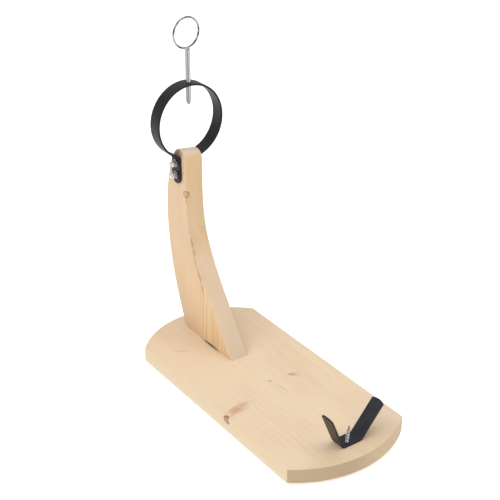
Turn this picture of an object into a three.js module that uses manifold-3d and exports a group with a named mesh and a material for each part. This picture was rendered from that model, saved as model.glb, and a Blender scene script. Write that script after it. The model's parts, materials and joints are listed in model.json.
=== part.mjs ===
// Ham holder stand: a pine board carries a curved pine column with a steel ring on top, a loose
// pin with a ring handle drops through the ring into the ham's shank, and a steel cradle with a
// spike at the front of the board holds the thick end of the ham.
//
// Millimetres. +X points to the front (the cradle), +Z is up, and y = 0 is the plane of symmetry.
// The origin is the middle of the bottom of the stand's bounding box, on the surface it stands on.

import * as THREE from 'three';
import { mergeVertices } from 'three/addons/utils/BufferGeometryUtils.js';
import Module from 'manifold-3d';

const wasm = await Module();
wasm.setup();

// ---------- driving dimensions ----------

const fitGap = 0.3; // kept between pieces that touch on the real stand
const cutOver = 5; // how far a cutting tool runs past the face it enters

// rubber feet under the board
const footHeight = 4;
const footRadius = 9;
const footTopRadius = 8;
const footInsetX = 40; // from the board's corner lines
const footInsetY = 22; // from the board's long sides

// base board, whose two ends are arcs between the corner lines
const boardThickness = 20;
const boardWidth = 174.6;
const boardStraight = 308.2;
const boardFrontBulge = 31.2;
const boardBackBulge = 39.8;

// overall length, from the column's backmost point to the board's front tip
const overallLength = 392.97;

// column: heights are above the board's top face
const columnThickness = 26;
const columnBackFoot = [-158.7, 0];
const columnBackPull = [[-221.1, 137.9], [-189.9, 222]];
const columnBackTop = [-179.6, 241]; // where the rounding over to the top starts
const columnTopPull = [[-175.1, 249.4], [-169.4, 255.3]];
const columnHeight = 255.3; // at the middle of its thickness
const columnTopSlant = 3.7; // how much higher the hand-cut top is on the -y face than on the +y face
const columnSlantStart = 225; // the slant fades in above this height
const columnFrontRound = 11.5;
const columnFrontX = -149.4;
const columnFrontStart = 212.3; // below this height the front edge leaves the upright
const columnFrontPull = [[-149.4, 131.1], [-134, 113.5]];
const columnFrontFoot = [-50.8, 0];

// ring strap: a flat steel strap rolled to a ring, with both ends bent down along the column
const strapThickness = 2.5;
const strapWidth = 19;
const strapX = -167.2;
const ringHalfWidth = 47.6; // the ring is a little taller than it is wide
const ringHalfHeight = 49.6;
const ringCentreY = 2.6; // hand bending leaves the ring a little off the column's middle
const ringCentreHeight = 291.3; // above the board's top face
const tabBendRadius = 3.5; // of the strap's middle line
const tabTipHeight = 209.4; // above the board's top face

// bolts that clamp the two tabs on the column
const boltX = -167.2;
const boltRadius = 2.5;
const boltLength = 42;
const boltHeights = { lower: 221, upper: 237 }; // above the board's top face
const boltHeadHeight = 3.5;
const nutHeight = 4;
const hexAcrossFlats = 8;
const washerRadius = 4.9;
const washerThickness = 1;

// pin and its ring handle
const pinRadius = 3.2;
const pinX = -164.6;
const pinY = 4.2;
const pinHoleClearance = 0.5;
const pinTipHeight = 313; // above the board's top face
const pinTipLength = 3.5;
const pinTipRadius = 1.5;
const handleCentreHeight = 404.5; // above the board's top face
const handleCentreY = 3;
const handleRadius = 19; // of the wire's middle line
const wireRadius = 1.25;
const handleTurn = THREE.MathUtils.degToRad(4.5);

// cradle: a flat steel strap with two arms bent up
const cradleX = 164.6;
const cradleFlat = { left: -12.8, right: 15.9 }; // y of the two outer bends
const cradleLeftTip = [-30.5, 43.5]; // y, and height above the board's top face
const cradleRightTip = [47.5, 37.9];
const cradleBendRadius = 6; // of the outer face
const armEndSag = 2.4; // how far the arms' rounded ends bulge

// wood screws, driven up from the board's underside
const spikeScrew = { x: 166.6, y: -0.8, length: 43, radius: 2.4, headRadius: 4.6, tip: 6 };
const spikeLean = THREE.MathUtils.degToRad(6.5); // toward +y
const spikeHeadRecess = 1; // deeper than the other heads, as this one leans too
const cradleHoleRadius = 3.3; // wide enough to turn on the leaning spike
const columnScrew = { length: 60, radius: 2.5, headRadius: 4.8, tip: 9 };
const columnScrewXs = { back: -144.4, middle: -116.4, front: -88.4 };
const footScrew = { length: 15, radius: 1.75, headRadius: 3.4, tip: 5 };
const screwHeadRecess = 0.4; // below the board's underside
const footScrewHeight = 1; // of the head above the standing surface

// facets round each turned shape
const roundSides = 32;
const smallSides = 20;

// ---------- heights and places that follow ----------

const boardBottom = footHeight;
const boardTop = boardBottom + boardThickness;
const boardFrontTip = overallLength / 2;
const boardFrontCorner = boardFrontTip - boardFrontBulge;
const boardBackCorner = boardFrontCorner - boardStraight;
const tabInnerY = columnThickness / 2 + fitGap;
const tabOuterY = tabInnerY + strapThickness;
const ringCentreZ = boardTop + ringCentreHeight;
const pinTopZ = boardTop + handleCentreHeight - handleRadius - wireRadius - fitGap;
const boltPlaces = Object.entries(boltHeights).map(([name, height]) => ({ name, z: boardTop + height }));
const footPlaces = [
  { name: 'front_left', x: boardFrontCorner - footInsetX, y: -(boardWidth / 2 - footInsetY) },
  { name: 'front_right', x: boardFrontCorner - footInsetX, y: boardWidth / 2 - footInsetY },
  { name: 'back_left', x: boardBackCorner + footInsetX, y: -(boardWidth / 2 - footInsetY) },
  { name: 'back_right', x: boardBackCorner + footInsetX, y: boardWidth / 2 - footInsetY },
];

// ---------- materials ----------

const boardPine = new THREE.MeshStandardMaterial({ color: 0xe3cba5, roughness: 0.6, metalness: 0 });
const columnPine = new THREE.MeshStandardMaterial({ color: 0xdfc096, roughness: 0.6, metalness: 0 });
const blackSteel = new THREE.MeshStandardMaterial({ color: 0x1b1c20, roughness: 0.45, metalness: 0.3 });
const brightSteel = new THREE.MeshStandardMaterial({ color: 0xb9b7b4, roughness: 0.25, metalness: 1 });
const zincSteel = new THREE.MeshStandardMaterial({ color: 0xc4c2bf, roughness: 0.35, metalness: 1 });
const rubber = new THREE.MeshStandardMaterial({ color: 0x1d1d1d, roughness: 0.8, metalness: 0 });

// ---------- solids and booleans ----------

function toSolid(geometry) {
  const bare = geometry.clone();
  bare.deleteAttribute('normal');
  bare.deleteAttribute('uv');
  const merged = mergeVertices(bare, 1e-4);
  return new wasm.Manifold(new wasm.Mesh({
    numProp: 3,
    vertProperties: new Float32Array(merged.attributes.position.array),
    triVerts: new Uint32Array(merged.index.array),
  }));
}

function toGeometry(solid) {
  const mesh = solid.getMesh();
  const geometry = new THREE.BufferGeometry();
  geometry.setAttribute('position', new THREE.BufferAttribute(mesh.vertProperties, 3));
  geometry.setIndex(new THREE.BufferAttribute(mesh.triVerts, 1));
  const flat = geometry.toNonIndexed();
  flat.computeVertexNormals();
  return flat;
}

function cut(geometry, tools) {
  const solid = tools.reduce((rest, tool) => rest.subtract(toSolid(tool)), toSolid(geometry));
  return toGeometry(solid);
}

// Extrudes a shape drawn in the x-z plane across y, centred on y = 0.
function extrudeAcross(shape, width, curveSegments) {
  const geometry = new THREE.ExtrudeGeometry(shape, { depth: width, bevelEnabled: false, curveSegments });
  return geometry.rotateX(Math.PI / 2).translate(0, width / 2, 0);
}

// Extrudes a shape drawn in the y-z plane along x, centred on x = 0.
function extrudeAlong(shape, width, curveSegments) {
  const geometry = new THREE.ExtrudeGeometry(shape, { depth: width, bevelEnabled: false, curveSegments });
  return geometry.rotateX(Math.PI / 2).rotateZ(Math.PI / 2).translate(-width / 2, 0, 0);
}

// Turns a profile of [radius, height] pairs round the z axis.
function turn(profile, sides) {
  const points = profile.map(([radius, height]) => new THREE.Vector2(radius, height));
  return new THREE.LatheGeometry(points, sides).rotateX(Math.PI / 2);
}

function rod(radius, fromZ, toZ, sides) {
  return turn([[0, fromZ], [radius, fromZ], [radius, toZ], [0, toZ]], sides);
}

// ---------- board ----------

// One rounded end of the board: an arc of the given bulge between the two corners.
function addBoardEnd(shape, tipX, bulge, direction) {
  const halfWidth = boardWidth / 2;
  const radius = (halfWidth ** 2 + bulge ** 2) / (2 * bulge);
  const half = Math.asin(halfWidth / radius);
  const middle = direction > 0 ? 0 : Math.PI;
  shape.absarc(tipX - direction * radius, 0, radius, middle - half, middle + half, false);
}

function boardGeometry(holes) {
  const shape = new THREE.Shape();
  addBoardEnd(shape, boardFrontTip, boardFrontBulge, 1);
  addBoardEnd(shape, boardBackCorner - boardBackBulge, boardBackBulge, -1);
  const settings = { depth: boardThickness, bevelEnabled: false, curveSegments: 12 };
  const blank = new THREE.ExtrudeGeometry(shape, settings);
  return cut(blank.translate(0, 0, boardBottom), holes);
}

// ---------- column ----------

function columnShape() {
  const [backPullLow, backPullHigh] = columnBackPull;
  const [topPullLow, topPullHigh] = columnTopPull;
  const [frontPullHigh, frontPullLow] = columnFrontPull;
  const frontRoundX = columnFrontX - columnFrontRound;
  const shape = new THREE.Shape();
  shape.moveTo(...columnBackFoot);
  shape.bezierCurveTo(...backPullLow, ...backPullHigh, ...columnBackTop);
  shape.bezierCurveTo(...topPullLow, ...topPullHigh, frontRoundX, columnHeight);
  shape.absarc(frontRoundX, columnHeight - columnFrontRound, columnFrontRound, Math.PI / 2, 0, true);
  shape.lineTo(columnFrontX, columnFrontStart);
  shape.bezierCurveTo(...frontPullHigh, ...frontPullLow, ...columnFrontFoot);
  shape.closePath();
  return shape;
}

// Lifts the top on the -y face and lowers it on the +y face.
function slantTop(geometry) {
  const position = geometry.attributes.position;
  for (let i = 0; i < position.count; i += 1) {
    const height = position.getZ(i);
    const share = Math.max(0, (height - columnSlantStart) / (columnHeight - columnSlantStart));
    position.setZ(i, height - share * columnTopSlant * position.getY(i) / columnThickness);
  }
  return geometry;
}

function columnGeometry(holes) {
  const blank = slantTop(extrudeAcross(columnShape(), columnThickness, 18));
  return cut(blank.translate(0, 0, boardTop + fitGap), holes);
}

// ---------- ring strap ----------

// Where the strap leaves the ring on one side (1 for +y, -1 for -y): the bend's centre, and the
// angle between straight down and the line from the ring's centre to the bend's centre.
function strapBend(side) {
  const reach = ringHalfWidth - strapThickness / 2 + tabBendRadius;
  const y = side * (tabInnerY + strapThickness / 2 + tabBendRadius);
  const mouth = Math.asin(side * (y - ringCentreY) / reach);
  return { y, z: ringCentreZ - reach * Math.cos(mouth), mouth };
}

// The strap's view from the front: up one face of the column, round the ring and down the other
// face. It is drawn with a round ring, which ringStrapGeometry stretches.
function strapShape() {
  const right = strapBend(1);
  const left = strapBend(-1);
  const tight = tabBendRadius - strapThickness / 2;
  const wide = tabBendRadius + strapThickness / 2;
  const ringStart = -Math.PI / 2 + right.mouth;
  const ringEnd = 3 * Math.PI / 2 - left.mouth;
  const tipZ = boardTop + tabTipHeight - cutOver;
  const shape = new THREE.Shape();
  shape.moveTo(tabInnerY, tipZ);
  shape.lineTo(tabOuterY, tipZ);
  shape.absarc(right.y, right.z, tight, Math.PI, Math.PI / 2 + right.mouth, true);
  shape.absarc(ringCentreY, ringCentreZ, ringHalfWidth, ringStart, ringEnd, false);
  shape.absarc(left.y, left.z, tight, Math.PI / 2 - left.mouth, 0, true);
  shape.lineTo(-tabOuterY, tipZ);
  shape.lineTo(-tabInnerY, tipZ);
  shape.absarc(left.y, left.z, wide, 0, Math.PI / 2 - left.mouth, false);
  shape.absarc(ringCentreY, ringCentreZ, ringHalfWidth - strapThickness, ringEnd, ringStart, true);
  shape.absarc(right.y, right.z, wide, Math.PI / 2 + right.mouth, Math.PI, false);
  shape.closePath();
  return shape;
}

// The strap's view from the side: straight edges and a half-round end at the bottom.
function strapOutline() {
  const half = strapWidth / 2;
  const shape = new THREE.Shape();
  shape.absarc(0, boardTop + tabTipHeight + half, half, Math.PI, 2 * Math.PI, false);
  shape.lineTo(half, ringCentreZ + ringHalfHeight + cutOver);
  shape.lineTo(-half, ringCentreZ + ringHalfHeight + cutOver);
  shape.closePath();
  return shape;
}

function ringStrapGeometry(holes) {
  const bent = extrudeAlong(strapShape(), strapWidth + cutOver, 28);
  bent.translate(0, 0, -ringCentreZ).scale(1, 1, ringHalfHeight / ringHalfWidth);
  bent.translate(0, 0, ringCentreZ);
  const outline = extrudeAcross(strapOutline(), 2 * ringHalfWidth + cutOver, 8);
  const blank = toGeometry(toSolid(bent).intersect(toSolid(outline)));
  return cut(blank.translate(strapX, 0, 0), holes);
}

// ---------- cradle ----------

// The point where an arm's outer face ends, and the unit direction along the arm.
function cradleArm(bendY, tip) {
  const run = Math.hypot(tip[0] - bendY, tip[1]);
  const along = [(tip[0] - bendY) / run, tip[1] / run];
  return { bendY, run, along, angle: Math.atan2(tip[1], Math.abs(tip[0] - bendY)) };
}

function cradleShape(left, right) {
  const reach = armEndSag;
  const bottom = boardTop + fitGap;
  const inner = cradleBendRadius - strapThickness;
  const bendZ = bottom + cradleBendRadius;
  // the bend's centre stands off the sharp corner by radius * tan(angle / 2)
  const rightBendY = right.bendY - cradleBendRadius * Math.tan(right.angle / 2);
  const leftBendY = left.bendY + cradleBendRadius * Math.tan(left.angle / 2);
  const end = (arm, side) => {
    const length = arm.run + reach;
    const outer = [arm.bendY + arm.along[0] * length, bottom + arm.along[1] * length];
    const across = [-side * arm.along[1] * strapThickness, side * arm.along[0] * strapThickness];
    return { outer, inner: [outer[0] + across[0], outer[1] + across[1]] };
  };
  const rightEnd = end(right, 1);
  const leftEnd = end(left, -1);
  const down = -Math.PI / 2;
  const shape = new THREE.Shape();
  shape.absarc(rightBendY, bendZ, cradleBendRadius, down, down + right.angle, false);
  shape.lineTo(...rightEnd.outer);
  shape.lineTo(...rightEnd.inner);
  shape.absarc(rightBendY, bendZ, inner, down + right.angle, down, true);
  shape.absarc(leftBendY, bendZ, inner, down, down - left.angle, true);
  shape.lineTo(...leftEnd.inner);
  shape.lineTo(...leftEnd.outer);
  shape.absarc(leftBendY, bendZ, cradleBendRadius, down - left.angle, down, false);
  shape.closePath();
  return shape;
}

// The waste beyond an arm's rounded end, as a block laid on the arm.
function armEndWaste(arm) {
  const half = strapWidth / 2;
  const radius = (half ** 2 + armEndSag ** 2) / (2 * armEndSag);
  const centre = arm.run + armEndSag - radius;
  const reach = half + 1;
  const start = Math.acos(reach / radius);
  const shape = new THREE.Shape();
  shape.absarc(0, centre, radius, start, Math.PI - start, false);
  shape.lineTo(-reach, arm.run + 2 * armEndSag);
  shape.lineTo(reach, arm.run + 2 * armEndSag);
  shape.closePath();
  const block = extrudeAcross(shape, 4 * strapThickness, 12);
  const lean = Math.atan2(arm.along[0], arm.along[1]);
  return block.rotateX(-lean).translate(0, arm.bendY, boardTop + fitGap);
}

function cradleGeometry(holes) {
  const left = cradleArm(cradleFlat.left, cradleLeftTip);
  const right = cradleArm(cradleFlat.right, cradleRightTip);
  const bent = extrudeAlong(cradleShape(left, right), strapWidth, 5);
  const ended = cut(bent, [armEndWaste(left), armEndWaste(right)]);
  return cut(ended.translate(cradleX, 0, 0), holes);
}

// ---------- pin and handle ----------

function pinGeometry() {
  const tipZ = boardTop + pinTipHeight;
  return turn([
    [0, tipZ],
    [pinTipRadius, tipZ],
    [pinRadius, tipZ + pinTipLength],
    [pinRadius, pinTopZ],
    [0, pinTopZ],
  ], smallSides).translate(pinX, pinY, 0);
}

function handleGeometry() {
  const points = new THREE.EllipseCurve(handleRadius, 0, wireRadius, wireRadius).getPoints(10);
  const wireRing = new THREE.LatheGeometry(points, 48).rotateZ(Math.PI / 2 + handleTurn);
  return wireRing.translate(pinX, handleCentreY, boardTop + handleCentreHeight);
}

// ---------- bolts, nuts and washers ----------

function hexShape() {
  const corner = hexAcrossFlats / 2 / Math.cos(Math.PI / 6);
  const corners = [0, 1, 2, 3, 4, 5].map((side) => {
    const angle = side * Math.PI / 3;
    return new THREE.Vector2(corner * Math.cos(angle), corner * Math.sin(angle));
  });
  return new THREE.Shape(corners);
}

// Hex pieces and washers are drawn in x-z and stand across y, from the y given.
function hexBlock(shape, fromY, height) {
  return extrudeAcross(shape, height, 8).translate(0, fromY + height / 2, 0);
}

function lieAcross(geometry, y, z) {
  return geometry.rotateX(-Math.PI / 2).translate(boltX, y, z);
}

const washerInnerFace = tabOuterY + fitGap;
const washerOuterFace = washerInnerFace + washerThickness;
const clampFace = washerOuterFace + fitGap;

function boltGeometry(z) {
  const shankEnd = clampFace - boltLength;
  const shank = toSolid(rod(boltRadius, shankEnd, clampFace + 1, smallSides).rotateX(-Math.PI / 2));
  const head = toSolid(hexBlock(hexShape(), clampFace, boltHeadHeight));
  return toGeometry(shank.add(head)).translate(boltX, 0, z);
}

function nutGeometry(z) {
  const shape = hexShape();
  const hole = new THREE.Path();
  hole.absarc(0, 0, boltRadius + fitGap, 0, 2 * Math.PI, true);
  shape.holes.push(hole);
  return hexBlock(shape, -clampFace - nutHeight, nutHeight).translate(boltX, 0, z);
}

function washerGeometry(side, z) {
  const inner = boltRadius + fitGap;
  const low = Math.min(side * washerInnerFace, side * washerOuterFace);
  const ring = turn([
    [inner, 0],
    [washerRadius, 0],
    [washerRadius, washerThickness],
    [inner, washerThickness],
    [inner, 0],
  ], roundSides);
  return lieAcross(ring, low, z);
}

function boltHole(z) {
  const reach = tabOuterY + cutOver;
  return lieAcross(rod(boltRadius + fitGap, -reach, reach, smallSides), 0, z);
}

// ---------- wood screws ----------

function screwGeometry(screw, x, y, headZ) {
  return turn([
    [0, headZ],
    [screw.headRadius, headZ],
    [screw.radius, headZ + screw.headRadius - screw.radius],
    [screw.radius, headZ + screw.length - screw.tip],
    [0, headZ + screw.length],
  ], smallSides).translate(x, y, 0);
}

// The hole for a screw, wider by the fit gap all round and open at the board's underside.
function screwHole(screw, x, y, headZ) {
  const head = screw.headRadius + fitGap;
  const shank = screw.radius + fitGap;
  return turn([
    [0, headZ - cutOver],
    [head, headZ - cutOver],
    [head, headZ],
    [shank, headZ + head - shank],
    [shank, headZ + screw.length - screw.tip],
    [fitGap, headZ + screw.length + fitGap],
    [0, headZ + screw.length + fitGap],
  ], smallSides).translate(x, y, 0);
}

// ---------- feet ----------

function footGeometry(x, y) {
  const hole = footScrew.radius + fitGap;
  const pocket = footScrew.headRadius + fitGap;
  const pocketTop = footScrewHeight + footScrew.headRadius - footScrew.radius + fitGap;
  const top = boardBottom - fitGap;
  return turn([
    [pocket, 0],
    [footRadius, 0],
    [footTopRadius, top],
    [hole, top],
    [hole, pocketTop],
    [pocket, pocketTop - 0.1],
    [pocket, 0],
  ], roundSides).translate(x, y, 0);
}

// ---------- assembly ----------

const stand = new THREE.Group();

function add(name, geometry, material) {
  const mesh = new THREE.Mesh(geometry, material);
  mesh.name = name;
  stand.add(mesh);
}

// Leans a piece drawn on the z axis toward +y, about the board's top face, in the spike's place.
function leanSpike(geometry) {
  const leaned = geometry.translate(0, 0, -boardTop).rotateX(-spikeLean);
  return leaned.translate(spikeScrew.x, spikeScrew.y, boardTop);
}

const screwHeadZ = boardBottom + screwHeadRecess;
const spikeHeadZ = boardBottom + spikeHeadRecess;
const spikeHole = leanSpike(screwHole(spikeScrew, 0, 0, spikeHeadZ));
const cradleHole = rod(cradleHoleRadius, boardTop - cutOver, boardTop + cutOver, smallSides);
cradleHole.translate(spikeScrew.x, spikeScrew.y, 0);
const columnScrews = Object.entries(columnScrewXs).map(([name, x]) => ({
  name,
  solid: screwGeometry(columnScrew, x, 0, screwHeadZ),
  hole: screwHole(columnScrew, x, 0, screwHeadZ),
}));
const columnHoles = columnScrews.map((screw) => screw.hole);
const footHoles = footPlaces.map(({ x, y }) => screwHole(footScrew, x, y, footScrewHeight));
const boltHoles = boltPlaces.map(({ z }) => boltHole(z));
const ringTopZ = ringCentreZ + ringHalfHeight;
const pinHole = rod(pinRadius + pinHoleClearance, ringCentreZ, ringTopZ + cutOver, smallSides);
pinHole.translate(pinX, pinY, 0);

add('base_board', boardGeometry([spikeHole, ...columnHoles, ...footHoles]), boardPine);
add('column', columnGeometry([...columnHoles, ...boltHoles]), columnPine);
for (const { name, solid } of columnScrews) {
  add(`column_screw_${name}`, solid, zincSteel);
}

add('ring_strap', ringStrapGeometry([...boltHoles, pinHole]), blackSteel);
for (const { name, z } of boltPlaces) {
  add(`ring_bolt_${name}`, boltGeometry(z), zincSteel);
  add(`ring_nut_${name}`, nutGeometry(z), zincSteel);
  add(`nut_washer_${name}`, washerGeometry(-1, z), zincSteel);
  add(`head_washer_${name}`, washerGeometry(1, z), zincSteel);
}

add('pin_rod', pinGeometry(), brightSteel);
add('pin_handle', handleGeometry(), brightSteel);

add('cradle', cradleGeometry([cradleHole]), blackSteel);
add('spike_screw', leanSpike(screwGeometry(spikeScrew, 0, 0, spikeHeadZ)), zincSteel);

for (const { name, x, y } of footPlaces) {
  add(`foot_${name}`, footGeometry(x, y), rubber);
  add(`foot_screw_${name}`, screwGeometry(footScrew, x, y, footScrewHeight), zincSteel);
}

export default stand;
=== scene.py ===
import json
import math
from functools import partial

import bpy
from mathutils import Matrix, Vector, noise


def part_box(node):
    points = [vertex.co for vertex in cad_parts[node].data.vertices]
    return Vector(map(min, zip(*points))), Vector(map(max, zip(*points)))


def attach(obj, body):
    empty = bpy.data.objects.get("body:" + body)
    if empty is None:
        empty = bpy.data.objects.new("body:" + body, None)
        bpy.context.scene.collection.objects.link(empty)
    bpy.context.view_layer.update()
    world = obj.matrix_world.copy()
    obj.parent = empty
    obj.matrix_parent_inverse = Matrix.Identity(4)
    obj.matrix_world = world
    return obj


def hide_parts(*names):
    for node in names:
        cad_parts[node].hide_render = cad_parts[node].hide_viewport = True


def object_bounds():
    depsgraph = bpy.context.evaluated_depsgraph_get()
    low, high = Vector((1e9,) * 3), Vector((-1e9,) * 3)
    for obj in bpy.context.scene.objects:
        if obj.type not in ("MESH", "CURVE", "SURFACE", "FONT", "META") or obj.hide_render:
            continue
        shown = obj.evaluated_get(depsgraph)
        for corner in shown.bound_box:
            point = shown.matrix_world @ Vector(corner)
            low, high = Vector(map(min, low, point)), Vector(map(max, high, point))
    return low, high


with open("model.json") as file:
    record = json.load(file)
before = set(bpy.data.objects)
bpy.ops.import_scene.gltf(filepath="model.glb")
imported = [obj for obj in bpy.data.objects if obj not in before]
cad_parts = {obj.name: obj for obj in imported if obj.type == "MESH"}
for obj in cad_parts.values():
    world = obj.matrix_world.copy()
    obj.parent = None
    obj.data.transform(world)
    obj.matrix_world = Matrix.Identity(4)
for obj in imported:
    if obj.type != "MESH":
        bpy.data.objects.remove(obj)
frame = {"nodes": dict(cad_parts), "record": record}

CAD_LOW, CAD_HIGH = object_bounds()
MM = 0.001  # the shapes below are in millimetres

# ---------- sizes shared with the CAD model, in mm ----------


def box_mm(node):
    low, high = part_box(node)
    return low / MM, high / MM


def centre_mm(node):
    low, high = box_mm(node)
    return (low + high) / 2


def radius_mm(node):
    """The radius of a node that is round about z, or about y."""
    low, high = box_mm(node)
    return (high.x - low.x) / 2


FIT_GAP = 0.3  # between a piece and what holds it
BOARD_LOW, BOARD_HIGH = box_mm("base_board")
BOARD_TOP = BOARD_HIGH.z
BOARD_FRONT_BULGE = 31.2
BOARD_BACK_BULGE = 39.8
BOARD_ROUND = 1.5  # of the long top and bottom edges
BOARD_CORNER = 3.0

COLUMN_THICKNESS = 26.0
COLUMN_ROUND = 1.6
COLUMN_LIFT = 0.06  # of the foot off the board
COLUMN_BACK_FOOT = (-158.7, 0.0)
COLUMN_BACK_PULL = ((-221.1, 137.9), (-189.9, 222.0))
COLUMN_BACK_TOP = (-179.6, 241.0)
COLUMN_TOP_PULL = ((-175.1, 249.4), (-169.4, 255.3))
COLUMN_HEIGHT = 255.3
COLUMN_TOP_SLANT = 3.7  # how much lower the top is at the far face
COLUMN_SLANT_START = 225.0
COLUMN_FRONT_ROUND = 11.5
COLUMN_FRONT_X = -149.4
COLUMN_FRONT_MIDDLE = 228.0  # a point on the upright part of the front
COLUMN_FRONT_START = 212.3
COLUMN_FRONT_PULL = ((-149.4, 131.1), (-134.0, 113.5))
COLUMN_FRONT_FOOT = (-50.8, 0.0)
SLIT_ENDS = (-115.0, -79.0)  # of the gap under the foot's near edge, in x
SLIT_LIFTS = ((-16.0, 1.9), (-12.0, 1.7), (4.0, 1.2))  # y, and the gap's height there

STRAP_THICKNESS = 2.5
STRAP_HALF = 9.5
STRAP_X = centre_mm("ring_strap").x
TAB_TIP = box_mm("ring_strap")[0].z
RING_HALF_WIDTH = 47.6
RING_HALF_HEIGHT = 49.6
RING_Y = 2.6
RING_Z = box_mm("ring_strap")[1].z - RING_HALF_HEIGHT
TAB_MIDDLE = COLUMN_THICKNESS / 2 + FIT_GAP + STRAP_THICKNESS / 2
TAB_BEND = 3.5
PIN_HOLE = 3.6  # radius
BOLT_HOLE = 2.8  # radius

CRADLE_X = centre_mm("cradle").x
CRADLE_BOTTOM = box_mm("cradle")[0].z
CRADLE_FLAT = (-12.8, 15.9)
CRADLE_TIPS = ((-30.5, 43.5), (47.5, 37.9))
CRADLE_BEND = 6.0
CRADLE_SAG = 2.4
CRADLE_HOLE = 3.3  # radius

BOLT_RADIUS = 2.48
BOLT_PITCH = 0.8
BOLT_THREAD = 16.0  # length
NUT_TURNS = {"lower": 11.0, "upper": -17.0}  # degrees

SPIKE_LEAN = math.radians(6.5)  # toward +y, about the board's top face
SPIKE_LENGTH = 43.0
SPIKE_HEAD = 4.6  # radius
SPIKE_RADIUS = 2.4
SPIKE_TIP = 6.0
SPIKE_RECESS = 1.0  # of the head above the board's underside
SPIKE_JOINT = next(j for j in frame["record"]["behaviour"]["joints"] if j["name"] == "cradle_swivel")
SPIKE_PLACE = (SPIKE_JOINT["pos_m"][0] / MM, SPIKE_JOINT["pos_m"][1] / MM)
SPIKE_PITCH = 2.1
SPIKE_THREAD = 8.0  # where the thread starts, above the head's face
SPIKE_CUT = 0.45  # the thread's depth, as a share of the radius
SCREWS = {"column": (2.5, 9.0, 2.6), "foot": (1.75, 5.0, 1.3)}  # radius, length of the point, pitch

WIRE_RADIUS = 1.25
HANDLE_TURN = math.radians(4.5)

# ---------- marks that the photograph shows on the wood, in mm ----------

# soft ovals: the middle, the two half sizes and the turn in radians; these are seen from above
SPIKE_KNOT = ((39.0, -66.0), (7.8, 19.0), math.radians(18))  # a knot cut along its length
SMALL_KNOT = ((13.5, 1.4), (3.0, 2.6), 0.2)
SPECKS = ((33.0, 4.4), (15.0, 2.4), 0.18)
SMEAR = ((19.0, 34.5), (5.0, 10.0), -0.62)
SMEAR_CORE = ((17.1, 31.5), (2.8, 4.2), -0.5)
FAINT_KNOT = ((-109.0, -53.0), (2.8, 13.0), -0.62)
# painted shade on the board under the column's lifted near edge
SLIT_SHADE = ((sum(SLIT_ENDS) / 2, -7.0), (22.0, 5.6))
# these are seen from the near side, in x and z
SPIKE_KNOT_CORE = ((45.6, 20.6), (5.4, 3.6), -0.3)
EDGE_KNOT_FACE = ((-151.0, 222.6), (4.4, 6.6))
RING_SWELL = ((-150.0, 222.0), (7.0, 16.0))
ISLAND = ((-128.0, 146.0), (9.0, 34.0), 0.267)
# painted shade on the near face above the ring's tab
STRAP_SHADE = ((-171.0, 249.5), (13.0, 11.0))
# EDGE_KNOT_FACE's knot again, seen from the front, in y and z
EDGE_KNOT_FRONT = ((-12.2, 222.6), (4.4, 6.6))
STREAK_HEIGHTS = (80.0, 230.0)  # the ends of the resin streak's path, in z
STREAK_XS = (-151.6, -104.8)  # as far back and as far forward as the path may lie
# (share of the height, share of the way forward)
STREAK_PATH = ((0.0, 0.86), (0.17, 0.73), (0.33, 0.48), (0.5, 0.3), (0.77, 0.12), (1.0, 0.04))
# the hearts that the growth rings run round
BOARD_HEART = (31.0, -84.0)  # y and z
COLUMN_HEART = (-92.0, 44.0)  # x and y

# ---------- colours ----------

BOARD_GAIN = 0.8
SIDE_GAIN = 0.68
END_GAIN = 0.83
COLUMN_GAIN = 0.77


def rgb(red, green, blue, gain=1.0):
    """An sRGB colour in 0 to 255 as linear light, times gain."""
    linear = []
    for value in (red, green, blue):
        v = value / 255
        linear.append(gain * (v / 12.92 if v <= 0.04045 else ((v + 0.055) / 1.055) ** 2.4))
    return (*linear, 1.0)


# ---------- shader building ----------


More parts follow.
